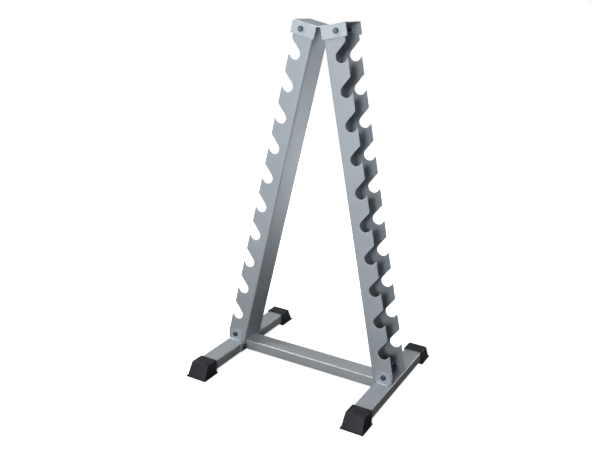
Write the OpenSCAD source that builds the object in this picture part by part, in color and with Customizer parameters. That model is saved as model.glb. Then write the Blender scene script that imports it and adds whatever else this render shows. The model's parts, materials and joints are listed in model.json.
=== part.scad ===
// A-frame dumbbell rack. Two notched channel uprights lean together under a folded top
// bracket and are bolted into saddles on two tube feet, which one crossbar joins.
// Axes: X across the rack, Y front to back with the front at -Y, Z up from the floor.

/* [Feet] */
// Distance between the middles of the two feet
foot_span = 600; // [450:1:800]
// Width of a foot tube
foot_w = 62; // [50:1:80]
// Height of a foot tube
foot_h = 38; // [30:1:60]
// Length of a foot tube
foot_len = 548; // [400:1:800]
// Wall of the foot tubes and the crossbar
tube_wall = 2; // [1.5:0.1:3]
// Outside corner radius of the foot tubes and the crossbar
tube_r = 4; // [3:0.5:6]

/* [Crossbar] */
// Width of the crossbar tube, front to back
bar_w = 68; // [50:1:80]
// Length of an end plate, front to back
plate_len = 138; // [110:1:180]
// Height of an end plate
plate_h = 34; // [24:1:36]
// Thickness of an end plate
plate_t = 3; // [2:0.5:5]
// Distance of each plate bolt from the middle of the crossbar
plate_bolt_y = 55; // [45:1:60]

/* [Uprights] */
// Gap between the two uprights' webs at their tops, which sets how far they lean
web_gap = 23.75; // [16:0.25:40]
// Distance that the outer edge at the foot's top stands outside the foot's middle
toe_out = 38.5; // [34:0.5:44]
// Length of an upright along its slope, from the level of the foot's top
upright_len = 1213; // [1150:1:1300]
// Depth of the channel over its two flanges
channel_d = 110; // [90:1:130]
// Width of a flange, from its free edge to the web's face
flange_w = 74; // [66:1:84]
// Thickness of the folded sheet
sheet_t = 2.5; // [2:0.1:4]
// Outside radius of the channel's two folds
fold_r = 4.5; // [4:0.5:8]

/* [Seats] */
// Number of seats down each upright
seat_count = 10; // [4:1:10]
// Distance from one seat to the next along the slope
seat_pitch = 110.5; // [90:0.5:112]
// Diameter of the round bottom of a seat
seat_d = 40; // [30:0.5:42]
// Distance of a seat's centre in from the flange's free edge
seat_in = 22; // [18:0.5:26]
// Distance of the lowest seat's centre above the foot's top, along the slope
seat_low = 116; // [105:1:140]
// Rise of a seat's slot from the flange's square-on direction, in degrees
seat_rise = 41; // [35:1:50]

/* [Brackets] */
// Thickness of the saddles' and the top bracket's plate
bracket_t = 3; // [2:0.5:5]
// Width of a saddle's tabs across the foot
saddle_w = 54; // [44:1:58]
// Height of a saddle's tabs above the foot
saddle_h = 42; // [36:1:56]
// Height of a saddle bolt above the foot
saddle_bolt_z = 25; // [20:1:34]
// Cut across the corners of a saddle's tabs
saddle_corner = 7; // [3:0.5:12]
// Overhang of the top bracket past the flanges' free edges
top_over = 10; // [4:0.5:16]
// Overhang of the top bracket's flaps past the webs
top_lap = 5; // [2:0.5:8]
// Height of the top bracket's flaps, with the plate
flap_h = 44; // [34:1:48]
// Distance of a top bolt in from the flange's free edge
top_bolt_in = 26; // [18:1:40]
// Distance of a top bolt below the top of the bracket
top_bolt_down = 23; // [18:1:30]

/* [Foot caps] */
// Length of foot tube that a cap covers
cap_grip = 45; // [30:1:70]
// Length of a cap past the tube's end, at the top
cap_nose = 7; // [4:1:20]
// Length of a cap past the tube's end, at the floor
cap_toe = 30; // [22:1:45]
// Wall of a cap beside and above the tube
cap_wall = 3.5; // [2.5:0.5:5]
// Thickness of a cap under the tube
cap_sole = 8; // [5:0.5:14]
// Spread of each side of a cap from its top to its sole
cap_flare = 3; // [1:0.5:6]
// Height of the lip round the sole
lip_h = 4; // [2:0.5:5]
// Reach of the lip beyond the cap's sides
lip_out = 3; // [1:0.5:5]
// Gap between a cap and the tube, at the sides and the top
cap_gap = 0.3; // [0.1:0.1:0.8]

/* [Bolts] */
// Thread diameter of every bolt
bolt_d = 10; // [8:1:12]
// Width across the flats of the bolt heads and nuts
bolt_af = 17; // [13:1:19]
// Height of a bolt head
head_h = 6.4; // [5:0.1:8]
// Height of a nut
nut_h = 8; // [6:0.1:10]
// Outside diameter of a washer
washer_d = 20; // [18:0.5:24]
// Thickness of a washer
washer_t = 2; // [1:0.5:3]
// Gap of a bolt in its hole, across the diameter
bolt_gap = 1; // [0.5:0.1:2]
// Length of thread that shows past a nut
bolt_tail = 3; // [1:0.5:6]

/* [Hidden] */
$fn = 64;

LEFT = -1;
RIGHT = 1;
STEEL = "silver";
FEET_STEEL = "lightslategray";
PLASTIC = "#222427";
ZINC = "slategray";

foot_x = foot_span / 2;
foot_top = cap_sole + foot_h;
foot_mid = cap_sole + foot_h / 2;
foot_inner = foot_x - foot_w / 2;
foot_outer = foot_x + foot_w / 2;
bar_len = 2 * (foot_inner - plate_t);
hole_d = bolt_d + bolt_gap;
hex_d = bolt_af / cos(30);
channel_front = channel_d / 2;
tab_front = channel_front + bracket_t;
upright_foot = foot_top + bracket_t;
head_to_nut = bracket_t + sheet_t + washer_t;
// Lean from the vertical at which the web's inner top edge comes to half the gap
web_reach = foot_x + toe_out - web_gap / 2;
web_corner = norm([flange_w, upright_len]);
lean = asin(web_reach / web_corner) - atan2(flange_w, upright_len);
// Past every face that it cuts, so that no skin is left
over = 1;
// Longer than any slanted cut needs
far = 400;
// A slot's walls stand this far inside its round bottom's, so that they cross it cleanly
slot_ease = 0.05;

function seat_w(i) = seat_low + i * seat_pitch;

// Mirrors what is made for the right side when the left is asked for
module on_side(side) {
    mirror([side == LEFT ? 1 : 0, 0, 0]) children();
}

// The same piece at the front and at the back
module front_and_back() {
    children();
    mirror([0, 1, 0]) children();
}

// The right upright's own space: X outward from the free edge, Z up the slope
module along_upright() {
    translate([foot_x + toe_out, 0, foot_top]) rotate([0, -lean, 0]) children();
}

module round_rect(w, h, r) {
    square([w - 2 * r, h], center = true);
    square([w, h - 2 * r], center = true);
    for (x = [-1, 1], y = [-1, 1])
        translate([x * (w / 2 - r), y * (h / 2 - r)]) circle(r);
}

module tube_section(w, h) {
    difference() {
        round_rect(w, h, tube_r);
        round_rect(w - 2 * tube_wall, h - 2 * tube_wall, tube_r - tube_wall);
    }
}

// A bolt that starts under its head at the origin and points along +Z
module bolt(grip) {
    translate([0, 0, -head_h]) cylinder(d = hex_d, h = head_h, $fn = 6);
    cylinder(d = bolt_d, h = grip + nut_h + bolt_tail);
}

module nut() {
    difference() {
        cylinder(d = hex_d, h = nut_h, $fn = 6);
        translate([0, 0, -over]) cylinder(d = bolt_d, h = nut_h + 2 * over);
    }
}

module washer() {
    difference() {
        cylinder(d = washer_d, h = washer_t);
        translate([0, 0, -over]) cylinder(d = hole_d, h = washer_t + 2 * over);
    }
}

// Where a plate bolt's head sits: on the plate's inner face, pointing at the foot
module at_plate_bolt() {
    front_and_back()
        translate([foot_inner - plate_t, -plate_bolt_y, foot_mid]) rotate([0, 90, 0]) children();
}

// Where a saddle bolt's head sits: on the front tab, pointing back
module at_saddle_bolt() {
    front_and_back()
        translate([foot_x, -tab_front, foot_top + saddle_bolt_z]) rotate([-90, 0, 0]) children();
}

// Where a top bolt's head sits: on the front flap, pointing back
module at_top_bolt() {
    front_and_back()
        along_upright()
            translate([-top_bolt_in, -tab_front, upright_len + bracket_t - top_bolt_down])
                rotate([-90, 0, 0]) children();
}

module foot(side) {
    color(FEET_STEEL) on_side(side) difference() {
        translate([foot_x, foot_len / 2, foot_mid])
            rotate([90, 0, 0]) linear_extrude(foot_len) tube_section(foot_w, foot_h);
        at_plate_bolt() cylinder(d = hole_d, h = plate_t + tube_wall + over);
    }
}

// Outline of a cap seen from the side: Y towards its toe, Z up
module cap_side() {
    toe = foot_len / 2 + cap_toe;
    polygon([
        [foot_len / 2 - cap_grip, 0],
        [toe, 0],
        [foot_len / 2 + cap_nose, foot_top + cap_wall],
        [foot_len / 2 - cap_grip, foot_top + cap_wall]
    ]);
}

// Outline of a cap seen from the front: narrower at the top
module cap_front() {
    top = foot_w / 2 + cap_wall;
    polygon([
        [-top - cap_flare, 0], [top + cap_flare, 0],
        [top, foot_top + cap_wall], [-top, foot_top + cap_wall]
    ]);
}

module cap(side, end) {
    toe = foot_len / 2 + cap_toe;
    sole_w = foot_w + 2 * (cap_wall + cap_flare + lip_out);
    sole_len = cap_grip + cap_toe + lip_out;
    color(PLASTIC) on_side(side) mirror([0, end, 0]) translate([foot_x, 0, 0]) difference() {
        union() {
            intersection() {
                translate([-far / 2, 0, 0]) rotate([90, 0, 90])
                    linear_extrude(far) cap_side();
                translate([0, toe, 0]) rotate([90, 0, 0])
                    linear_extrude(cap_grip + cap_toe) cap_front();
            }
            translate([0, foot_len / 2 - cap_grip + sole_len / 2, 0])
                linear_extrude(lip_h) round_rect(sole_w, sole_len, lip_out);
        }
        translate([0, foot_len / 2 - cap_grip - over, cap_sole + (foot_h + cap_gap) / 2])
            rotate([-90, 0, 0]) linear_extrude(cap_grip + over)
                square([foot_w + 2 * cap_gap, foot_h + cap_gap], center = true);
    }
}

module crossbar() {
    color(FEET_STEEL) translate([-bar_len / 2, 0, foot_mid])
        rotate([90, 0, 90]) linear_extrude(bar_len) tube_section(bar_w, foot_h);
}

module end_plate(side) {
    color(STEEL) on_side(side) difference() {
        translate([foot_inner - plate_t, -plate_len / 2, foot_mid - plate_h / 2])
            cube([plate_t, plate_len, plate_h]);
        translate([-over, 0, 0]) at_plate_bolt() cylinder(d = hole_d, h = plate_t + 2 * over);
    }
}

module plate_bolts(side) {
    color(ZINC) on_side(side) at_plate_bolt() bolt(plate_t + tube_wall);
}

module weld_nuts(side) {
    color(ZINC) on_side(side) at_plate_bolt()
        translate([0, 0, plate_t + tube_wall]) nut();
}

module saddle_tab() {
    half = saddle_w / 2;
    polygon([
        [-half, 0], [half - saddle_corner / 2, 0], [half, saddle_corner],
        [half, saddle_h - saddle_corner], [half - saddle_corner, saddle_h], [-half, saddle_h]
    ]);
}

module saddle(side) {
    color(STEEL) on_side(side) difference() {
        union() {
            translate([foot_x - saddle_w / 2, -channel_front, foot_top])
                cube([saddle_w, channel_d, bracket_t]);
            front_and_back() translate([foot_x, -channel_front, foot_top])
                rotate([90, 0, 0]) linear_extrude(bracket_t) saddle_tab();
        }
        at_saddle_bolt() translate([0, 0, -over])
            cylinder(d = hole_d, h = bracket_t + 2 * over);
    }
}

// The channel's section: X outward with the free edges at 0, Y across the rack's depth
module channel_section() {
    difference() {
        channel_solid(flange_w, channel_d, fold_r);
        translate([over, 0])
            channel_solid(flange_w - sheet_t + over, channel_d - 2 * sheet_t, fold_r - sheet_t);
    }
}

// A rectangle that ends at X = 0 and is rounded at its two far corners
module channel_solid(w, h, r) {
    translate([-w, -h / 2 + r]) square([w, h - 2 * r]);
    translate([-w + r, -h / 2]) square([w - r, h]);
    for (y = [-1, 1]) translate([-w + r, y * (h / 2 - r)]) circle(r);
}

// One seat seen from the front: a round bottom and a slot that rises outward
module seat_outline() {
    slot_w = seat_d - 2 * slot_ease;
    circle(d = seat_d);
    rotate(seat_rise) translate([0, -slot_w / 2]) square([3 * seat_in, slot_w]);
}

module upright(side) {
    color(STEEL) on_side(side) difference() {
        along_upright() difference() {
            translate([0, 0, -foot_h]) linear_extrude(upright_len + foot_h) channel_section();
            for (i = [0 : seat_count - 1])
                translate([-seat_in, channel_d / 2 + over, seat_w(i)]) rotate([90, 0, 0])
                    linear_extrude(channel_d + 2 * over) seat_outline();
        }
        translate([0, -channel_d / 2 - over, upright_foot - far])
            cube([far, channel_d + 2 * over, far]);
        translate([foot_outer, -channel_d / 2 - over, 0])
            cube([far, channel_d + 2 * over, seat_low]);
        at_saddle_bolt() cylinder(d = hole_d, h = head_to_nut);
        at_top_bolt() cylinder(d = hole_d, h = head_to_nut);
    }
}

module saddle_bolts(side) {
    color(ZINC) on_side(side) at_saddle_bolt() bolt(head_to_nut);
}

module saddle_washers(side) {
    color(ZINC) on_side(side) at_saddle_bolt()
        translate([0, 0, bracket_t + sheet_t]) washer();
}

module saddle_nuts(side) {
    color(ZINC) on_side(side) at_saddle_bolt() translate([0, 0, head_to_nut]) nut();
}

// One wing of the top bracket, from the rack's middle plane outwards
module top_wing() {
    difference() {
        along_upright() translate([-far, -tab_front, upright_len])
            cube([far + top_over, 2 * tab_front, bracket_t]);
        translate([-far, -far, 0]) cube([far, 2 * far, 2 * upright_len]);
    }
}

module top_flaps() {
    front_and_back() along_upright()
        translate([-flange_w - top_lap, -tab_front, upright_len + bracket_t - flap_h])
            cube([flange_w + top_lap + top_over, bracket_t, flap_h]);
}

module top_bracket() {
    color(STEEL) difference() {
        union() {
            for (side = [LEFT, RIGHT]) on_side(side) {
                top_wing();
                top_flaps();
            }
        }
        for (side = [LEFT, RIGHT]) on_side(side) at_top_bolt() translate([0, 0, -over])
            cylinder(d = hole_d, h = bracket_t + 2 * over);
    }
}

module top_bolts(side) {
    color(ZINC) on_side(side) at_top_bolt() bolt(head_to_nut);
}

module top_washers(side) {
    color(ZINC) on_side(side) at_top_bolt() translate([0, 0, bracket_t + sheet_t]) washer();
}

module top_nuts(side) {
    color(ZINC) on_side(side) at_top_bolt() translate([0, 0, head_to_nut]) nut();
}

foot(LEFT);  // left_foot
foot(RIGHT);  // right_foot
cap(LEFT, 1);  // front_left_cap
cap(LEFT, 0);  // rear_left_cap
cap(RIGHT, 1);  // front_right_cap
cap(RIGHT, 0);  // rear_right_cap
crossbar();
end_plate(LEFT);  // left_end_plate
end_plate(RIGHT);  // right_end_plate
plate_bolts(LEFT);  // left_plate_bolts
plate_bolts(RIGHT);  // right_plate_bolts
weld_nuts(LEFT);  // left_weld_nuts
weld_nuts(RIGHT);  // right_weld_nuts
saddle(LEFT);  // left_saddle
saddle(RIGHT);  // right_saddle
upright(LEFT);  // left_upright
upright(RIGHT);  // right_upright
saddle_bolts(LEFT);  // left_saddle_bolts
saddle_bolts(RIGHT);  // right_saddle_bolts
saddle_washers(LEFT);  // left_saddle_washers
saddle_washers(RIGHT);  // right_saddle_washers
saddle_nuts(LEFT);  // left_saddle_nuts
saddle_nuts(RIGHT);  // right_saddle_nuts
top_bracket();
top_bolts(LEFT);  // left_top_bolts
top_bolts(RIGHT);  // right_top_bolts
top_washers(LEFT);  // left_top_washers
top_washers(RIGHT);  // right_top_washers
top_nuts(LEFT);  // left_top_nuts
top_nuts(RIGHT);  // right_top_nuts
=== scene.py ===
"""Looks of an A-frame dumbbell rack: painted sheet and tube, moulded foot caps, bolts and welds."""

import json
import logging
import math
from dataclasses import dataclass, field
from enum import Enum
from typing import Callable, Iterable

import bmesh
import bpy
from mathutils import Matrix, Vector


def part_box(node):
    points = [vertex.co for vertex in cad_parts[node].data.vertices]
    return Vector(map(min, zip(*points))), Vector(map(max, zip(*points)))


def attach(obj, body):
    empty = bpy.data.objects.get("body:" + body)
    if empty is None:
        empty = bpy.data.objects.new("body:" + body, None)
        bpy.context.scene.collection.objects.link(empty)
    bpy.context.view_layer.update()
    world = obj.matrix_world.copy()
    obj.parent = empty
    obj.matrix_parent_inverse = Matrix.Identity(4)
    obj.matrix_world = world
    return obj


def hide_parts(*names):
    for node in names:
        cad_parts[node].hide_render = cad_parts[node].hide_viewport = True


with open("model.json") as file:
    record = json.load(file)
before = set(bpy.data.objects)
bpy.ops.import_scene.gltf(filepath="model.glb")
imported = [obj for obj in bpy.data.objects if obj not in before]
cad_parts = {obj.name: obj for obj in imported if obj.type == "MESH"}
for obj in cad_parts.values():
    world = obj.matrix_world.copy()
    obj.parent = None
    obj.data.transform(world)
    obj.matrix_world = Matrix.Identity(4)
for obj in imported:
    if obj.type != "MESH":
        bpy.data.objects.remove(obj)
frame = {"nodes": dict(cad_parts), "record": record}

logging.basicConfig(level=logging.INFO, format="%(message)s")
log = logging.getLogger("dumbbell_rack")

MM = 0.001
ROOT = "root"
FLOAT = "NodeSocketFloat"
VECTOR = "NodeSocketVector"
# A face whose normal has more than this along an axis faces that way
FACING = 0.9

Color = tuple[float, float, float]


class Side(Enum):
    """A side of the rack, with the sign of its X."""

    LEFT = -1
    RIGHT = 1

    @property
    def word(self) -> str:
        """The side's name as the nodes spell it."""
        return self.name.lower()


class End(Enum):
    """An end of a foot, with the sign of its Y."""

    FRONT = -1
    REAR = 1

    @property
    def word(self) -> str:
        """The end's name as the nodes spell it."""
        return self.name.lower()


class Slot(Enum):
    """The record's material slots."""

    UPRIGHT = "upright_paint"
    BRACKET = "bracket_paint"
    FOOT = "foot_paint"
    CAP = "cap_plastic"
    BOLT = "bolt_steel"
    ZINC = "zinc_steel"


# ---------------------------------------------------------------- shader groups


def new_group(
    name: str, inputs: dict[str, tuple[str, object]], outputs: dict[str, str]
) -> bpy.types.NodeTree:
    """Starts a shader node group with named sockets.

    Args:
        name: the group's name.
        inputs: each input's socket type and default value, by name.
        outputs: each output's socket type, by name.

    Returns:
        The group, which holds its input and output nodes, named In and Out.
    """
    tree = bpy.data.node_groups.new(name, "ShaderNodeTree")
    for label, (kind, value) in inputs.items():
        socket = tree.interface.new_socket(label, in_out="INPUT", socket_type=kind)
        if value is not None:
            socket.default_value = value
    for label, kind in outputs.items():
        tree.interface.new_socket(label, in_out="OUTPUT", socket_type=kind)
    tree.nodes.new("NodeGroupInput").name = "In"
    tree.nodes.new("NodeGroupOutput").name = "Out"
    return tree


@dataclass
class Wiring:
    """Adds nodes to a tree and links them in one call each."""

    tree: bpy.types.NodeTree

    def feed(self, socket: bpy.types.NodeSocket, value: object) -> None:
        """Links a socket to value, or sets it when value isn't a socket."""
        if isinstance(value, bpy.types.NodeSocket):
            self.tree.links.new(value, socket)
        else:
            socket.default_value = value

    def math(self, operation: str, *values: object, clamp: bool = False) -> bpy.types.NodeSocket:
        """Adds a Math node.

        Args:
            operation: the node's operation.
            values: what feeds its inputs, sockets or numbers.
            clamp: whether the result is kept between 0 and 1.

        Returns:
            The node's output.
        """
        node = self.tree.nodes.new("ShaderNodeMath")
        node.operation = operation
        node.use_clamp = clamp
        for socket, value in zip(node.inputs, values):
            self.feed(socket, value)
        return node.outputs[0]

    def noise(
        self, vector: bpy.types.NodeSocket, scale: object, detail: float
    ) -> bpy.types.NodeSocket:
        """Adds a Noise Texture and returns its value."""
        node = self.tree.nodes.new("ShaderNodeTexNoise")
        self.feed(node.inputs["Vector"], vector)
        self.feed(node.inputs["Scale"], scale)
        node.inputs["Detail"].default_value = detail
        return node.outputs["Fac"]

    def span(self, value: bpy.types.NodeSocket, low: object, high: object) -> bpy.types.NodeSocket:
        """Spreads a value from 0 to 1 over low to high, and returns the result."""
        node = self.tree.nodes.new("ShaderNodeMapRange")
        self.feed(node.inputs["Value"], value)
        self.feed(node.inputs["To Min"], low)
        self.feed(node.inputs["To Max"], high)
        return node.outputs["Result"]

    def step(self, value: object, start: float, stop: float) -> bpy.types.NodeSocket:
        """A smooth step of value from 0 at start to 1 at stop."""
        node = self.tree.nodes.new("ShaderNodeMapRange")
        node.interpolation_type = "SMOOTHSTEP"
        self.feed(node.inputs["Value"], value)
        node.inputs["From Min"].default_value = start
        node.inputs["From Max"].default_value = stop
        return node.outputs["Result"]

    def mix(self, factor: object, a: object, b: object) -> bpy.types.NodeSocket:
        """Mixes two colours and returns the result."""
        node = self.tree.nodes.new("ShaderNodeMix")
        node.data_type = "RGBA"
        self.feed(node.inputs["Factor"], factor)
        self.feed(node.inputs["A"], a)
        self.feed(node.inputs["B"], b)
        return node.outputs["Result"]

    def group(self, tree: bpy.types.NodeTree, **values: object) -> bpy.types.Node:
        """Adds a group node, feeds its inputs by name, and returns it."""
        node = self.tree.nodes.new("ShaderNodeGroup")
        node.node_tree = tree
        for label, value in values.items():
            self.feed(node.inputs[label], value)
        return node


@dataclass(frozen=True)
class Grain:
    """A finish's fine grain over broad, soft clouding."""

    fine_detail: float = 2.0
    broad_detail: float = 4.0
    middle: float = 0.5

    def group(self) -> bpy.types.NodeTree:
        """Makes the group.

        Returns:
            A group that puts out a Shade around 1, a Rough offset around 0 and a bump Height.
        """
        tree = new_group(
            "grain",
            {
                "Vector": (VECTOR, None),
                "Fine": (FLOAT, 900.0),
                "Broad": (FLOAT, 9.0),
                "Grain": (FLOAT, 0.1),
                "Cloud": (FLOAT, 0.1),
            },
            {"Shade": FLOAT, "Rough": FLOAT, "Height": FLOAT},
        )
        w = Wiring(tree)
        give = tree.nodes["In"].outputs
        take = tree.nodes["Out"].inputs
        flakes = w.noise(give["Vector"], give["Fine"], self.fine_detail)
        fine = w.math("SUBTRACT", flakes, self.middle)
        clouds = w.noise(give["Vector"], give["Broad"], self.broad_detail)
        broad = w.math("SUBTRACT", clouds, self.middle)
        speck = w.math("MULTIPLY", fine, give["Grain"])
        cloud = w.math("MULTIPLY", broad, give["Cloud"])
        w.feed(take["Shade"], w.math("ADD", w.math("ADD", 1.0, speck), cloud))
        w.feed(take["Rough"], w.math("SUBTRACT", cloud, speck))
        w.feed(take["Height"], fine)
        return tree


@dataclass(frozen=True)
class Dust:
    """Thin, patchy dust on faces that look upwards."""

    level: tuple[float, float] = (0.55, 1.0)
    patch_scale: float = 38.0
    patch_detail: float = 6.0
    patch: tuple[float, float] = (0.35, 0.75)

    def group(self) -> bpy.types.NodeTree:
        """Makes the group.

        Returns:
            A group that puts out a Mask from 0 to 1.
        """
        tree = new_group(
            "dust",
            {"Vector": (VECTOR, None), "Up": (FLOAT, 0.0), "Amount": (FLOAT, 0.2)},
            {"Mask": FLOAT},
        )
        w = Wiring(tree)
        give = tree.nodes["In"].outputs
        level = w.step(give["Up"], *self.level)
        patches = w.step(
            w.noise(give["Vector"], self.patch_scale, self.patch_detail), *self.patch
        )
        lying = w.math("MULTIPLY", level, patches)
        mask = w.math("MULTIPLY", lying, give["Amount"], clamp=True)
        w.feed(tree.nodes["Out"].inputs["Mask"], mask)
        return tree


@dataclass(frozen=True)
class Scuffs:
    """Fine scuffs that handling leaves along a part, in patches."""

    stretch: tuple[float, float, float] = (240.0, 240.0, 10.0)
    detail: float = 3.0
    line: tuple[float, float] = (0.60, 0.72)
    patch_scale: float = 11.0
    patch: tuple[float, float] = (0.45, 0.65)

    def group(self) -> bpy.types.NodeTree:
        """Makes the group.

        Returns:
            A group that puts out a Mask, 1 on a scuff.
        """
        tree = new_group(
            "scuffs",
            {
                "Vector": (VECTOR, None),
                "Stretch": (VECTOR, self.stretch),
                "Amount": (FLOAT, 0.3),
            },
            {"Mask": FLOAT},
        )
        w = Wiring(tree)
        give = tree.nodes["In"].outputs
        drawn = tree.nodes.new("ShaderNodeVectorMath")
        drawn.operation = "MULTIPLY"
        w.feed(drawn.inputs[0], give["Vector"])
        w.feed(drawn.inputs[1], give["Stretch"])
        lines = w.step(w.noise(drawn.outputs[0], 1.0, self.detail), *self.line)
        patches = w.step(w.noise(give["Vector"], self.patch_scale, self.detail), *self.patch)
        marks = w.math("MULTIPLY", lines, patches)
        mask = w.math("MULTIPLY", marks, give["Amount"], clamp=True)
        w.feed(tree.nodes["Out"].inputs["Mask"], mask)
        return tree


@dataclass(frozen=True)
class SeatRow:
    """Where the seats lie on an upright, in metres in the rack's frame."""

    lean: float = math.radians(12.1)
    toe_x: float = 338.5 * MM
    toe_z: float = 46.0 * MM
    first: float = 116.0 * MM
    pitch: float = 110.5 * MM
    inset: float = 22.0 * MM
    radius: float = 20.0 * MM
    rim_start: float = 0.2 * MM
    rim: float = 7.0 * MM
    patch_scale: float = 160.0
    patch_detail: float = 5.0
    patch: tuple[float, float] = (0.42, 0.62)

    def rub_group(self) -> bpy.types.NodeTree:
        """Makes the group for the rub marks that handles leave in the seats.

        Returns:
            A group that puts out a Mask, 1 where a handle lies on a seat's round bottom.
        """
        tree = new_group("seat_rub", {"Vector": (VECTOR, None)}, {"Mask": FLOAT})
        w = Wiring(tree)
        vector = tree.nodes["In"].outputs["Vector"]
        split = tree.nodes.new("ShaderNodeSeparateXYZ")
        w.feed(split.inputs[0], vector)
        across = w.math("SUBTRACT", w.math("ABSOLUTE", split.outputs["X"]), self.toe_x)
        up = w.math("SUBTRACT", split.outputs["Z"], self.toe_z)
        cos, sin = math.cos(self.lean), math.sin(self.lean)
        out = w.math("ADD", w.math("MULTIPLY", across, cos), w.math("MULTIPLY", up, sin))
        along = w.math("SUBTRACT", w.math("MULTIPLY", up, cos), w.math("MULTIPLY", across, sin))
        turned = w.math("ADD", w.math("SUBTRACT", along, self.first), self.pitch / 2)
        local = w.math("SUBTRACT", w.math("FLOORED_MODULO", turned, self.pitch), self.pitch / 2)
        side = w.math("ADD", out, self.inset)
        squares = w.math("ADD", w.math("MULTIPLY", side, side), w.math("MULTIPLY", local, local))
        away = w.math("SUBTRACT", w.math("SQRT", squares), self.radius)
        ring = w.math("SUBTRACT", 1.0, w.step(away, self.rim_start, self.rim))
        below = w.math("SUBTRACT", 1.0, w.step(local, -self.radius, 0.0))
        worn = w.step(w.noise(vector, self.patch_scale, self.patch_detail), *self.patch)
        mask = w.math("MULTIPLY", w.math("MULTIPLY", ring, below), worn, clamp=True)
        w.feed(tree.nodes["Out"].inputs["Mask"], mask)
        return tree


GRAIN = Grain().group()
DUST = Dust().group()
SCUFFS = Scuffs().group()
SEAT_RUB = SeatRow().rub_group()

# ---------------------------------------------------------------- finishes


@dataclass(frozen=True)
class Finish:
    """One finish: a Principled material with grain, clouding, bump, wear and dust."""

    name: str
    color: Color
    roughness: float
    metallic: float = 0.0
    coat: float = 0.0
    specular: float = 0.5
    fine: float = 900.0
    grain: float = 0.1
    broad: float = 9.0
    cloud: float = 0.1
    bump: float = 0.1
    dust: float = 0.0
    rubbed: bool = False
    scuffs: float = 0.0
    scuff_run: tuple[float, float, float] = (240.0, 240.0, 10.0)
    dust_color: Color = (0.42, 0.41, 0.39)
    dust_dulls: float = 0.3
    rub_color: Color = (0.62, 0.64, 0.66)
    rub_shows: float = 0.45
    rub_dulls: float = 0.15
    scuff_shines: float = 0.2
    bump_height: float = 0.3 * MM
    coat_roughness: float = 0.2

    def material(self) -> bpy.types.Material:
        """Builds the material.

        Returns:
            The new material, with every pattern on Object coordinates.
        """
        made = bpy.data.materials.new(self.name)
        made.use_nodes = True
        tree = made.node_tree
        w = Wiring(tree)
        shader = tree.nodes["Principled BSDF"]
        place = tree.nodes.new("ShaderNodeTexCoord").outputs["Object"]
        grain = w.group(
            GRAIN, Vector=place, Fine=self.fine, Broad=self.broad,
            Grain=self.grain, Cloud=self.cloud,
        )
        scaled = tree.nodes.new("ShaderNodeVectorMath")
        scaled.operation = "SCALE"
        scaled.inputs[0].default_value = self.color
        w.feed(scaled.inputs["Scale"], grain.outputs["Shade"])
        color: object = scaled.outputs[0]
        rough: object = w.math("ADD", self.roughness, grain.outputs["Rough"], clamp=True)
        if self.rubbed:
            worn = w.group(SEAT_RUB, Vector=place).outputs["Mask"]
            rub = w.math("MULTIPLY", worn, self.rub_shows)
            color = w.mix(rub, color, (*self.rub_color, 1.0))
            rough = w.math("ADD", rough, w.math("MULTIPLY", rub, self.rub_dulls), clamp=True)
        if self.scuffs:
            marks = w.group(
                SCUFFS, Vector=place, Stretch=self.scuff_run, Amount=self.scuffs
            ).outputs["Mask"]
            color = w.mix(marks, color, (*self.rub_color, 1.0))
            shine = w.math("MULTIPLY", marks, self.scuff_shines)
            rough = w.math("SUBTRACT", rough, shine, clamp=True)
        if self.dust:
            normal = tree.nodes.new("ShaderNodeSeparateXYZ")
            w.feed(normal.inputs[0], tree.nodes.new("ShaderNodeNewGeometry").outputs["Normal"])
            mask = w.group(
                DUST, Vector=place, Up=normal.outputs["Z"], Amount=self.dust
            ).outputs["Mask"]
            color = w.mix(mask, color, (*self.dust_color, 1.0))
            rough = w.math("ADD", rough, w.math("MULTIPLY", mask, self.dust_dulls), clamp=True)
        bump = tree.nodes.new("ShaderNodeBump")
        bump.inputs["Strength"].default_value = self.bump
        bump.inputs["Distance"].default_value = self.bump_height
        w.feed(bump.inputs["Height"], grain.outputs["Height"])
        w.feed(shader.inputs["Base Color"], color)
        w.feed(shader.inputs["Roughness"], rough)
        w.feed(shader.inputs["Normal"], bump.outputs["Normal"])
        shader.inputs["Metallic"].default_value = self.metallic
        shader.inputs["Coat Weight"].default_value = self.coat
        shader.inputs["Coat Roughness"].default_value = self.coat_roughness
        shader.inputs["Specular IOR Level"].default_value = self.specular
        return made


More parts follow.
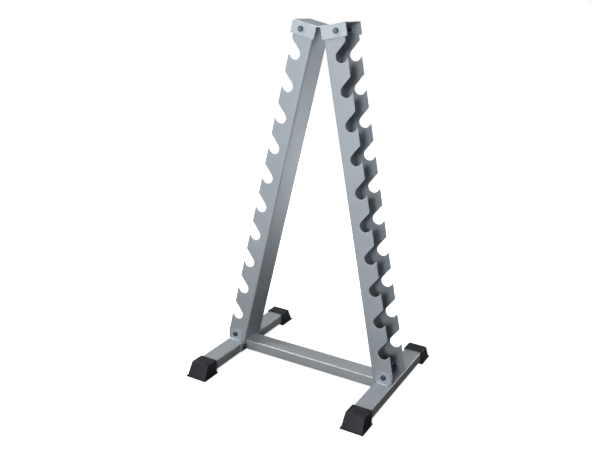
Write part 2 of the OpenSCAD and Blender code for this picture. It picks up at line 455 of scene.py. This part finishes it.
FINISHES: dict[Slot, Finish] = {
    # The uprights, the brackets and the feet wear one silver paint. The three copies' tones are
    # painted shade and painted light: darker on the uprights and lighter on the brackets and the
    # feet, set to how brightly each part is lit.
    Slot.UPRIGHT: Finish(
        "silver_paint_upright_darker_toned", (0.345, 0.385, 0.42), 0.48, metallic=0.4, coat=0.12,
        fine=1400.0, grain=0.26, broad=7.0, cloud=0.13, bump=0.14, dust=0.1, rubbed=True,
        scuffs=0.22,
    ),
    Slot.BRACKET: Finish(
        "silver_paint_bracket_lighter_toned", (0.42, 0.465, 0.505), 0.42, metallic=0.4, coat=0.3,
        fine=1400.0, grain=0.26, broad=14.0, cloud=0.12, bump=0.14, dust=0.12, scuffs=0.2,
    ),
    Slot.FOOT: Finish(
        "silver_paint_foot_lighter_toned", (0.45, 0.49, 0.52), 0.42, metallic=0.45, coat=0.4,
        fine=1400.0, grain=0.24, broad=8.0, cloud=0.13, bump=0.12, dust=0.14,
        scuffs=0.25, scuff_run=(10.0, 120.0, 120.0),
    ),
    # The cap's colour is black plastic with a blue cast all over; the blue cast is a painted
    # reflection of a bluish sheen.
    Slot.CAP: Finish(
        "black_moulded_cap_painted_blue_sheen", (0.011, 0.0135, 0.020), 0.55, specular=0.35, fine=520.0, grain=0.3,
        broad=22.0, cloud=0.16, bump=0.3, dust=0.05,
    ),
    Slot.BOLT: Finish(
        "dark_zinc_bolt", (0.085, 0.11, 0.15), 0.27, metallic=0.85, fine=1100.0, grain=0.25,
        broad=60.0, cloud=0.3, bump=0.15,
    ),
    Slot.ZINC: Finish(
        "bright_zinc_hardware", (0.52, 0.54, 0.56), 0.32, metallic=1.0, fine=1100.0, grain=0.15,
        broad=70.0, cloud=0.3, bump=0.12,
    ),
}

# ---------------------------------------------------------------- mesh helpers


def near(a: float, b: float, slack: float = 0.05 * MM) -> bool:
    """Whether two lengths are the same."""
    return abs(a - b) < slack


def straight_edges(bm: bmesh.types.BMesh, keep: Callable[[Vector, Vector], bool]) -> list:
    """The edges whose two ends pass a test."""
    return [e for e in bm.edges if keep(e.verts[0].co, e.verts[1].co)]


def round_edges(bm: bmesh.types.BMesh, edges: Iterable, width: float, segments: int) -> None:
    """Rounds edges of a mesh.

    Args:
        bm: the mesh.
        edges: the edges to round.
        width: how far from each edge the round starts, in metres.
        segments: how many faces the round has.
    """
    bmesh.ops.bevel(
        bm, geom=list(edges), offset=width, offset_type="OFFSET", segments=segments,
        profile=0.5, affect="EDGES", clamp_overlap=True, material=-1,
    )


@dataclass
class Workshop:
    """Turns finished meshes into pieces of the rack, and dresses the frame's own nodes."""

    materials: dict[Slot, bpy.types.Material] = field(default_factory=dict)

    def __post_init__(self) -> None:
        """Builds every finish once."""
        for slot, finish in FINISHES.items():
            self.materials[slot] = finish.material()

    def piece(
        self, name: str, bm: bmesh.types.BMesh, slot: Slot, replaces: Iterable[str] = (),
        smooth_below: float = 35.0,
    ) -> bpy.types.Object:
        """Makes an object of a finished mesh, which rides on the rack.

        Args:
            name: the piece's name.
            bm: the mesh, in the rack's frame; it is freed.
            slot: the finish.
            replaces: the CAD nodes that the piece stands for.
            smooth_below: edges flatter than this many degrees are shaded smooth.

        Returns:
            The object.
        """
        mesh = bpy.data.meshes.new(name)
        bm.to_mesh(mesh)
        bm.free()
        mesh.shade_smooth()
        mesh.set_sharp_from_angle(angle=math.radians(smooth_below))
        mesh.materials.append(self.materials[slot])
        made = bpy.data.objects.new(name, mesh)
        bpy.context.scene.collection.objects.link(made)
        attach(made, ROOT)
        if replaces:
            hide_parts(*replaces)
        log.info("%s: %d faces", name, len(mesh.polygons))
        return made

    def dress_nodes(self) -> None:
        """Gives every CAD node the finish that the record names for it."""
        for part in frame["record"]["subparts"]:
            node = frame["nodes"][part["node"]]
            node.data.materials.clear()
            node.data.materials.append(self.materials[Slot(part["material_slot"])])
            log.info("%s: %s", part["node"], part["material_slot"])


# ---------------------------------------------------------------- sheet metal


@dataclass
class SheetPart:
    """A CAD piece of cut sheet or tube, remade with softened edges and rounded folds."""

    node: str
    slot: Slot
    edge: float = 0.6 * MM
    segments: int = 2
    fold: float = 0.0
    fold_segments: int = 4
    shortest_fold: float = 10.0 * MM
    flap_tilt: float = 0.2
    plate_tilt: float = 0.8
    merge: float = 0.002 * MM
    flat_angle: float = 0.4
    edge_angle: float = 40.0

    def fold_edges(self, bm: bmesh.types.BMesh) -> list:
        """The outer edges of the folds between the piece's level plates and its upright flaps."""
        low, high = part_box(self.node)
        found = []
        for edge in bm.edges:
            outer = all(near(abs(v.co.y), high.y) for v in edge.verts)
            tilts = sorted(abs(f.normal.z) for f in edge.link_faces)
            folded = (
                len(tilts) == 2 and tilts[0] < self.flap_tilt and tilts[1] > self.plate_tilt
            )
            if outer and folded and edge.calc_length() > self.shortest_fold:
                found.append(edge)
        if self.node != "top_bracket":
            return [e for e in found if near(e.verts[0].co.z, low.z)]
        return [e for e in found if any(f.normal.z > self.plate_tilt for f in e.link_faces)]

    def build(self, shop: Workshop) -> bpy.types.Object:
        """Merges a copy of the node's triangles and rounds its edges.

        Args:
            shop: where the piece is made.

        Returns:
            The piece, which stands for the node.
        """
        bm = bmesh.new()
        bm.from_mesh(frame["nodes"][self.node].data)
        bmesh.ops.remove_doubles(bm, verts=bm.verts, dist=self.merge)
        bmesh.ops.dissolve_limit(
            bm, angle_limit=math.radians(self.flat_angle), use_dissolve_boundaries=False,
            verts=bm.verts, edges=bm.edges,
        )
        bm.normal_update()
        if self.fold:
            folds = self.fold_edges(bm)
            log.info("%s: %d fold edges", self.node, len(folds))
            round_edges(bm, folds, self.fold, self.fold_segments)
        made = shop.piece(f"{self.node}_sheet", bm, self.slot, replaces=[self.node])
        bevel = made.modifiers.new("softened_edges", "BEVEL")
        bevel.width = self.edge
        bevel.segments = self.segments
        bevel.limit_method = "ANGLE"
        bevel.angle_limit = math.radians(self.edge_angle)
        bevel.harden_normals = True
        bevel.use_clamp_overlap = True
        return made


# ---------------------------------------------------------------- foot caps


@dataclass
class FootCap:
    """A moulded sleeve on a foot's end, with a sloping nose and a thin lip round its sole."""

    side: Side
    end: End
    flare: float = 3.0 * MM
    lip_out: float = 3.0 * MM
    lip_h: float = 4.0 * MM
    nose_back: float = 23.0 * MM
    mouth_ledge: float = 1.5 * MM
    sleeve_gap: float = 0.3 * MM
    top_round: float = 3.2 * MM
    top_segments: int = 4
    lip_round: float = 1.1 * MM
    lip_segments: int = 2
    mouth_depth: float = 5.0 * MM
    merge: float = 0.01 * MM

    @property
    def node(self) -> str:
        """The CAD node that the cap stands for."""
        return f"{self.end.word}_{self.side.word}_cap"

    def slab(self, low: Vector, high: Vector) -> bmesh.types.BMesh:
        """The sole's slab, from the box's bottom to the lip's top, with +Y towards the nose."""
        bm = bmesh.new()
        bmesh.ops.create_cube(bm, size=1.0)
        size = Vector((high.x - low.x, high.y - low.y, self.lip_h))
        bmesh.ops.scale(bm, vec=size, verts=bm.verts)
        middle = Vector(((low.x + high.x) / 2, (low.y + high.y) / 2, low.z + self.lip_h / 2))
        bmesh.ops.translate(bm, vec=middle, verts=bm.verts)
        return bm

    def build(self, shop: Workshop) -> bpy.types.Object:
        """Raises the sleeve from its sole, hollows its mouth and rounds its edges.

        Args:
            shop: where the piece is made.

        Returns:
            The cap.
        """
        box_low, box_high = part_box(self.node)
        foot_low, foot_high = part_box(f"{self.side.word}_foot")
        # Everything is made at the rear end, and mirrored to the front at the last
        reach = [abs(box_low.y), abs(box_high.y)]
        low = Vector((box_low.x, min(reach), box_low.z))
        high = Vector((box_high.x, max(reach), box_high.z))
        bm = self.slab(low, high)
        self.raise_body(bm, low, high)
        self.open_mouth(bm, foot_low, foot_high)
        self.soften(bm, low, high)
        if self.end is End.FRONT:
            bmesh.ops.scale(bm, vec=Vector((1.0, -1.0, 1.0)), verts=bm.verts)
        bmesh.ops.recalc_face_normals(bm, faces=bm.faces)
        return shop.piece(f"{self.node}_moulded", bm, Slot.CAP, replaces=[self.node])

    def raise_body(self, bm: bmesh.types.BMesh, low: Vector, high: Vector) -> None:
        """Raises the tapered body from the slab's top.

        Args:
            bm: the slab, which becomes the cap.
            low: the cap's lowest corner.
            high: the cap's highest corner.
        """
        top = next(f for f in bm.faces if f.normal.z > FACING)
        bmesh.ops.inset_region(bm, faces=[top], thickness=self.lip_out, use_even_offset=True)
        for vert in top.verts:
            if vert.co.y < low.y + 2 * self.lip_out:
                vert.co.y = low.y + self.mouth_ledge
        raised = bmesh.ops.extrude_face_region(bm, geom=[top])
        bmesh.ops.delete(bm, geom=[top], context="FACES_ONLY")
        middle = (low.x + high.x) / 2
        for vert in (v for v in raised["geom"] if isinstance(v, bmesh.types.BMVert)):
            vert.co.z = high.z
            vert.co.x += self.flare * (1 if vert.co.x < middle else -1)
            if vert.co.y > low.y + 2 * self.mouth_ledge:
                vert.co.y -= self.nose_back
        bmesh.ops.recalc_face_normals(bm, faces=bm.faces)

    def open_mouth(self, bm: bmesh.types.BMesh, foot_low: Vector, foot_high: Vector) -> None:
        """Cuts the sleeve that the tube stands in, from the mouth to the tube's end.

        Args:
            bm: the cap, which is solid.
            foot_low: the foot tube's lowest corner.
            foot_high: the foot tube's highest corner.
        """
        mouth = min(
            (
                f for f in bm.faces
                if f.normal.y < -FACING and f.calc_center_median().z > self.lip_h
            ),
            key=lambda f: f.calc_center_median().y,
        )
        bmesh.ops.inset_region(bm, faces=[mouth], thickness=self.flare, use_even_offset=True)
        left, right = foot_low.x - self.sleeve_gap, foot_high.x + self.sleeve_gap
        bottom, top = foot_low.z, foot_high.z + self.sleeve_gap
        centre = mouth.calc_center_median()
        for vert in mouth.verts:
            vert.co.x = left if vert.co.x < centre.x else right
            vert.co.z = bottom if vert.co.z < centre.z else top
        pushed = bmesh.ops.extrude_face_region(bm, geom=[mouth])
        bmesh.ops.delete(bm, geom=[mouth], context="FACES_ONLY")
        for vert in (v for v in pushed["geom"] if isinstance(v, bmesh.types.BMVert)):
            vert.co.y = foot_high.y
        bmesh.ops.recalc_face_normals(bm, faces=bm.faces)

    def soften(self, bm: bmesh.types.BMesh, low: Vector, high: Vector) -> None:
        """Rounds the body's outer edges, and then the lip's.

        Args:
            bm: the cap.
            low: the cap's lowest corner.
            high: the cap's highest corner.
        """
        lip_top = low.z + self.lip_h
        mouth_end = low.y + self.mouth_depth

        def on_body(a: Vector, b: Vector) -> bool:
            """Along the top or up a corner of the nose."""
            along_top = near(a.z, high.z) and near(b.z, high.z)
            bottom, top = sorted((a.z, b.z))
            whole_height = near(bottom, lip_top) and near(top, high.z)
            up_nose = whole_height and min(a.y, b.y) > mouth_end
            at_mouth = near(a.y, b.y) and a.y < mouth_end
            return (along_top or up_nose) and not at_mouth

        round_edges(bm, straight_edges(bm, on_body), self.top_round, self.top_segments)

        def on_lip(a: Vector, b: Vector) -> bool:
            """Round the lip's outer rim, above and below."""
            outside = [
                near(p.x, low.x) or near(p.x, high.x) or near(p.y, high.y) for p in (a, b)
            ]
            return all(outside) and (max(a.z, b.z) < lip_top or near(max(a.z, b.z), lip_top))

        round_edges(bm, straight_edges(bm, on_lip), self.lip_round, self.lip_segments)
        bmesh.ops.remove_doubles(bm, verts=bm.verts, dist=self.merge)


# ---------------------------------------------------------------- bolts


@dataclass
class BoltPair:
    """A front and a back hexagon bolt of one joint, with chamfered heads and turned threads."""

    node: str
    axis: Vector
    flats: float = 17.0 * MM
    thread: float = 10.0 * MM
    head_h: float = 6.4 * MM
    chamfer: float = 1.1 * MM
    face_h: float = 0.5 * MM
    thread_pitch: float = 1.5 * MM
    thread_depth: float = 0.45 * MM
    thread_rise: float = 0.35
    threaded: float = 14.0 * MM
    chamfer_run: float = 1.4
    face_segments: int = 32
    shank_segments: int = 24
    merge: float = 0.001 * MM
    smooth_below: float = 28.0

    def places(self) -> list[tuple[Vector, Vector, float]]:
        """Where each bolt lies.

        Returns:
            For each bolt, the outer face of its head, its direction and its whole length.
        """
        low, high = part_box(self.node)
        middle = (low + high) / 2
        if abs(self.axis.x) > 0.5:
            half = (high.z - low.z) / 2
            length = high.x - low.x
            start_x = low.x if self.axis.x > 0 else high.x
            return [
                (Vector((start_x, y, middle.z)), self.axis, length)
                for y in (low.y + half, high.y - half)
            ]
        verts = [v.co for v in frame["nodes"][self.node].data.vertices]
        front = [v for v in verts if v.y < 0]
        depth = max(v.y for v in front) - low.y
        return [
            (Vector((middle.x, low.y, middle.z)), Vector((0, 1, 0)), depth),
            (Vector((middle.x, high.y, middle.z)), Vector((0, -1, 0)), depth),
        ]

    def head(self, bm: bmesh.types.BMesh) -> None:
        """Adds a head with its outer face at the origin, pointing along +Z."""
        radius = self.flats / 2 / math.cos(math.radians(30))
        body = self.head_h - self.face_h - self.chamfer
        made = bmesh.ops.create_cone(
            bm, cap_ends=True, segments=6, radius1=radius, radius2=radius, depth=body
        )
        verts = made["verts"]
        bmesh.ops.translate(bm, vec=(0, 0, self.chamfer + body / 2), verts=verts)
        low = min(
            (f for f in bm.faces if f.normal.z < -FACING), key=lambda f: f.calc_center_median().z
        )
        bmesh.ops.inset_region(
            bm, faces=[low], thickness=self.chamfer * self.chamfer_run, use_even_offset=True
        )
        bmesh.ops.translate(bm, vec=(0, 0, -self.chamfer), verts=list(low.verts))
        ring = bmesh.ops.create_cone(
            bm, cap_ends=True, segments=self.face_segments, radius1=self.flats / 2,
            radius2=self.flats / 2, depth=self.face_h,
        )
        bmesh.ops.translate(
            bm, vec=(0, 0, self.head_h - self.face_h / 2), verts=ring["verts"]
        )

    def shank(self, bm: bmesh.types.BMesh, length: float) -> None:
        """Adds a shank under the head, plain at first and threaded to its end.

        Args:
            bm: the mesh.
            length: the whole bolt's length, with its head.
        """
        outer = self.thread / 2
        root = outer - self.thread_depth
        start = max(self.head_h, length - self.threaded)
        profile = [Vector((0, 0, self.head_h)), Vector((outer, 0, self.head_h))]
        if start > self.head_h:
            profile.append(Vector((outer, 0, start)))
        turns = int((length - start) / self.thread_pitch)
        for i in range(turns):
            base = start + i * self.thread_pitch
            profile.append(Vector((root, 0, base + self.thread_pitch * self.thread_rise)))
            profile.append(Vector((outer, 0, base + self.thread_pitch)))
        profile.append(Vector((root, 0, length)))
        profile.append(Vector((0, 0, length)))
        verts = [bm.verts.new(p) for p in profile]
        edges = [bm.edges.new(pair) for pair in zip(verts, verts[1:])]
        bmesh.ops.spin(
            bm, geom=verts + edges, cent=(0, 0, 0), axis=(0, 0, 1), angle=math.tau,
            steps=self.shank_segments, use_merge=True, use_duplicate=False,
        )

    def build(self, shop: Workshop) -> bpy.types.Object:
        """Makes both bolts as one piece.

        Args:
            shop: where the piece is made.

        Returns:
            The piece, which stands for the pair's node.
        """
        bm = bmesh.new()
        for place, direction, length in self.places():
            one = bmesh.new()
            self.head(one)
            self.shank(one, length)
            bmesh.ops.remove_doubles(one, verts=one.verts, dist=self.merge)
            turn = Vector((0, 0, 1)).rotation_difference(direction).to_matrix().to_4x4()
            bmesh.ops.transform(one, matrix=Matrix.Translation(place) @ turn, verts=one.verts)
            mesh = bpy.data.meshes.new("bolt_part")
            one.to_mesh(mesh)
            one.free()
            bm.from_mesh(mesh)
            bpy.data.meshes.remove(mesh)
        bmesh.ops.recalc_face_normals(bm, faces=bm.faces)
        return shop.piece(
            f"{self.node}_turned", bm, Slot.BOLT, [self.node], smooth_below=self.smooth_below
        )


# ---------------------------------------------------------------- welds


@dataclass
class WeldRun:
    """A set of rippled weld beads, each a straight run along a joint."""

    name: str
    slot: Slot
    runs: list[tuple[Vector, Vector]]
    radius: float = 4.0 * MM
    ripple: float = 2.6 * MM
    swell: float = 0.07
    end_size: float = 0.5
    segments: int = 10
    fewest_steps: int = 4
    smooth_below: float = 70.0

    def bead(self, bm: bmesh.types.BMesh, start: Vector, stop: Vector) -> None:
        """Adds one bead.

        Args:
            bm: the mesh.
            start: the bead's first point.
            stop: its last point.
        """
        course = stop - start
        steps = max(self.fewest_steps, int(course.length / self.ripple) * 2)
        turn = Vector((0, 0, 1)).rotation_difference(course).to_matrix().to_4x4()
        disc = bmesh.ops.create_circle(
            bm, cap_ends=True, segments=self.segments, radius=self.radius * self.end_size,
            matrix=Matrix.Translation(start) @ turn,
        )
        face = disc["verts"][0].link_faces[0]
        stride = course / steps
        size = self.end_size
        for i in range(1, steps + 1):
            wanted = self.end_size if i == steps else 1.0 + self.swell * (1 if i % 2 else -1)
            grown = bmesh.ops.extrude_discrete_faces(bm, faces=[face])
            face = grown["faces"][0]
            centre = face.calc_center_median()
            bmesh.ops.scale(
                bm, vec=Vector((1, 1, 1)) * (wanted / size), verts=list(face.verts),
                space=Matrix.Translation(-centre),
            )
            bmesh.ops.translate(bm, vec=stride, verts=list(face.verts))
            size = wanted

    def build(self, shop: Workshop) -> bpy.types.Object:
        """Makes the whole set.

        Args:
            shop: where the piece is made.

        Returns:
            The piece.
        """
        bm = bmesh.new()
        for start, stop in self.runs:
            self.bead(bm, start, stop)
        bmesh.ops.holes_fill(bm, edges=[e for e in bm.edges if e.is_boundary], sides=0)
        bmesh.ops.recalc_face_normals(bm, faces=bm.faces)
        return shop.piece(self.name, bm, self.slot, smooth_below=self.smooth_below)


@dataclass
class Welds:
    """The beads that hold the saddles to the feet and the crossbar to its end plates."""

    sink: float = 0.6 * MM
    margin: float = 3.0 * MM
    bar_radius: float = 2.2 * MM

    def saddle_runs(self, side: Side) -> list[tuple[Vector, Vector]]:
        """Beads along the front and the back of a saddle, where its tabs meet the foot."""
        low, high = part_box(f"{side.word}_saddle")
        z = low.z + self.sink
        left, right = low.x + self.margin, high.x - 2 * self.margin
        return [
            (Vector((left, y, z)), Vector((right, y, z)))
            for y in (low.y - self.sink, high.y + self.sink)
        ]

    def bar_runs(self, side: Side) -> list[tuple[Vector, Vector]]:
        """Beads round a crossbar's end, against its end plate."""
        low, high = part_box("crossbar")
        x = (high.x if side is Side.RIGHT else low.x) - side.value * self.sink
        front, back = low.y + 2 * self.margin, high.y - 2 * self.margin
        bottom, top = low.z + 2 * self.margin, high.z - 2 * self.margin
        return [
            (Vector((x, low.y - self.sink, bottom)), Vector((x, low.y - self.sink, top))),
            (Vector((x, high.y + self.sink, bottom)), Vector((x, high.y + self.sink, top))),
            (Vector((x, front, low.z + self.sink)), Vector((x, back, low.z + self.sink))),
        ]

    def build(self, shop: Workshop) -> None:
        """Makes the beads of both sides."""
        for side in Side:
            WeldRun(f"{side.word}_saddle_weld", Slot.BRACKET, self.saddle_runs(side)).build(shop)
            WeldRun(
                f"{side.word}_crossbar_weld", Slot.FOOT, self.bar_runs(side),
                radius=self.bar_radius,
            ).build(shop)


# ---------------------------------------------------------------- studio


@dataclass
class Lamp:
    """One soft rectangular studio lamp."""

    name: str
    place: tuple[float, float, float]
    aim: tuple[float, float, float]
    size: tuple[float, float]
    power: float
    spread: float = 180.0

    def build(self) -> None:
        """Hangs the lamp and points it at its aim."""
        data = bpy.data.lights.new(self.name, "AREA")
        data.shape = "RECTANGLE"
        data.size, data.size_y = self.size
        data.energy = self.power
        data.spread = math.radians(self.spread)
        lamp = bpy.data.objects.new(self.name, data)
        lamp.location = self.place
        way = Vector(self.aim) - Vector(self.place)
        lamp.rotation_euler = way.to_track_quat("-Z", "Y").to_euler()
        bpy.context.scene.collection.objects.link(lamp)


@dataclass
class Studio:
    """A plain pale floor under a soft sky, five lamps and the camera.

    The floor is pale to the eye. The light that it throws back on the rack is that of a dull mat
    under the rack and of a paler ground around it.
    """

    floor_half: float = 40.0
    floor_color: Color = (0.97, 0.97, 0.97)
    floor_roughness: float = 0.9
    floor_specular: float = 0.1
    floor_glow: float = 0.82
    floor_bounce: Color = (0.72, 0.73, 0.75)
    mat_color: Color = (0.09, 0.08, 0.07)
    mat_edge: tuple[float, float] = (0.28, 1.1)
    sky_left: float = 0.42
    sky_right: float = 0.03
    sky_across: tuple[float, float] = (-0.5, 0.6)
    sky_up: tuple[float, float] = (-0.1, 0.9)
    sky_low: float = 0.7
    sky_high: float = 1.2
    lamp_aim: tuple[float, float, float] = (0.0, 0.0, 0.3)
    eye: tuple[float, float, float] = (1.084, -2.126, 1.301)
    turn: float = 28.98
    tilt: float = 14.64
    roll: float = 1.87
    sensor: float = 36.0
    lens_per_width: float = 719.0 / 592.0
    rise: float = -0.079

    def lamps(self) -> list[Lamp]:
        """The studio's lamps."""
        aim = self.lamp_aim
        return [
            Lamp("key_lamp", (1.5, -7.2, 2.4), aim, (1.3, 1.3), 275.0),
            Lamp("soft_lamp", (-1.6, -4.6, 0.9), aim, (2.2, 1.4), 26.0),
            Lamp("edge_lamp", (-2.0, -1.2, 3.6), aim, (0.7, 0.7), 72.0),
            Lamp("back_lamp", (2.9, 5.0, 1.3), aim, (1.8, 1.8), 62.0),
            Lamp(
                "floor_lamp", (0.9, 2.5, 2.3), (0.6, 1.9, 0.0), (1.0, 1.0), 24.0, spread=50.0
            ),
        ]

    def floor(self) -> None:
        """Lays the floor."""
        bm = bmesh.new()
        bmesh.ops.create_grid(bm, x_segments=1, y_segments=1, size=self.floor_half)
        mesh = bpy.data.meshes.new("floor")
        bm.to_mesh(mesh)
        bm.free()
        paint = bpy.data.materials.new("pale_floor")
        paint.use_nodes = True
        tree = paint.node_tree
        w = Wiring(tree)
        seen = tree.nodes["Principled BSDF"]
        seen.inputs["Base Color"].default_value = (*self.floor_color, 1.0)
        seen.inputs["Roughness"].default_value = self.floor_roughness
        seen.inputs["Specular IOR Level"].default_value = self.floor_specular
        seen.inputs["Emission Color"].default_value = (*self.floor_color, 1.0)
        seen.inputs["Emission Strength"].default_value = self.floor_glow
        dull = tree.nodes.new("ShaderNodeBsdfDiffuse")
        place = tree.nodes.new("ShaderNodeTexCoord").outputs["Object"]
        split = tree.nodes.new("ShaderNodeSeparateXYZ")
        w.feed(split.inputs[0], place)
        away = w.step(w.math("ABSOLUTE", split.outputs["Y"]), *self.mat_edge)
        w.feed(dull.inputs["Color"], w.mix(away, (*self.mat_color, 1.0), (*self.floor_bounce, 1.0)))
        pick = tree.nodes.new("ShaderNodeMixShader")
        w.feed(pick.inputs[0], tree.nodes.new("ShaderNodeLightPath").outputs["Is Camera Ray"])
        w.feed(pick.inputs[1], dull.outputs[0])
        w.feed(pick.inputs[2], seen.outputs[0])
        w.feed(tree.nodes["Material Output"].inputs["Surface"], pick.outputs[0])
        mesh.materials.append(paint)
        floor = bpy.data.objects.new("floor", mesh)
        bpy.context.scene.collection.objects.link(floor)

    def sky(self) -> None:
        """Sets a sky that lights the left more than the right, and is white to the eye."""
        world = bpy.data.worlds.new("studio_sky")
        world.use_nodes = True
        tree = world.node_tree
        w = Wiring(tree)
        split = tree.nodes.new("ShaderNodeSeparateXYZ")
        w.feed(split.inputs[0], tree.nodes.new("ShaderNodeTexCoord").outputs["Generated"])
        across = w.step(split.outputs["X"], *self.sky_across)
        shade = w.span(across, self.sky_left, self.sky_right)
        lift = w.span(w.step(split.outputs["Z"], *self.sky_up), self.sky_low, self.sky_high)
        level = w.math("MULTIPLY", shade, lift)
        seen = tree.nodes.new("ShaderNodeLightPath").outputs["Is Camera Ray"]
        strength = w.span(seen, level, 1.0)
        back = tree.nodes["Background"]
        back.inputs["Color"].default_value = (1.0, 1.0, 1.0, 1.0)
        w.feed(back.inputs["Strength"], strength)
        bpy.context.scene.world = world

    def camera(self) -> None:
        """Stands the camera in front of the rack, a little to its right."""
        data = bpy.data.cameras.new("view_camera")
        data.sensor_width = self.sensor
        data.lens = self.sensor * self.lens_per_width
        data.shift_y = self.rise
        camera = bpy.data.objects.new("view_camera", data)
        turned = (
            Matrix.Rotation(math.radians(self.turn), 4, "Z")
            @ Matrix.Rotation(math.radians(90.0 - self.tilt), 4, "X")
            @ Matrix.Rotation(math.radians(self.roll), 4, "Z")
        )
        camera.matrix_world = Matrix.Translation(self.eye) @ turned
        bpy.context.scene.collection.objects.link(camera)
        bpy.context.scene.camera = camera

    def build(self) -> None:
        """Sets up the camera, the floor, the sky and the lamps."""
        bpy.context.scene.view_settings.view_transform = "Standard"
        self.camera()
        self.floor()
        self.sky()
        for lamp in self.lamps():
            lamp.build()


# ---------------------------------------------------------------- the rack


@dataclass
class Rack:
    """The whole rack, built sub-assembly by sub-assembly."""

    shop: Workshop = field(default_factory=Workshop)
    fold: float = 2.4 * MM
    tube_edge: float = 0.3 * MM
    plate_edge: float = 0.5 * MM

    def sheets(self) -> list[SheetPart]:
        """The pieces of cut and folded sheet, and the tubes."""
        parts = [
            SheetPart("top_bracket", Slot.BRACKET, fold=self.fold),
            SheetPart("crossbar", Slot.FOOT, self.tube_edge),
        ]
        for side in Side:
            parts.append(SheetPart(f"{side.word}_upright", Slot.UPRIGHT))
            parts.append(SheetPart(f"{side.word}_saddle", Slot.BRACKET, fold=self.fold))
            parts.append(SheetPart(f"{side.word}_end_plate", Slot.BRACKET, self.plate_edge))
        return parts

    def caps(self) -> list[FootCap]:
        """The four foot caps."""
        return [FootCap(side, end) for side in Side for end in End]

    def bolts(self) -> list[BoltPair]:
        """The bolts of the plates, the saddles and the top."""
        pairs = []
        for side in Side:
            pairs.append(BoltPair(f"{side.word}_plate_bolts", Vector((side.value, 0, 0))))
            pairs.append(BoltPair(f"{side.word}_saddle_bolts", Vector((0, 1, 0))))
            pairs.append(BoltPair(f"{side.word}_top_bolts", Vector((0, 1, 0))))
        return pairs

    def build(self) -> None:
        """Dresses the frame's nodes and builds every new piece."""
        self.shop.dress_nodes()
        for part in [*self.sheets(), *self.caps(), *self.bolts()]:
            part.build(self.shop)
        Welds().build(self.shop)


def main() -> None:
    """Builds the studio and the rack."""
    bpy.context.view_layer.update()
    Studio().build()
    Rack().build()


if __name__ == "__main__":
    main()
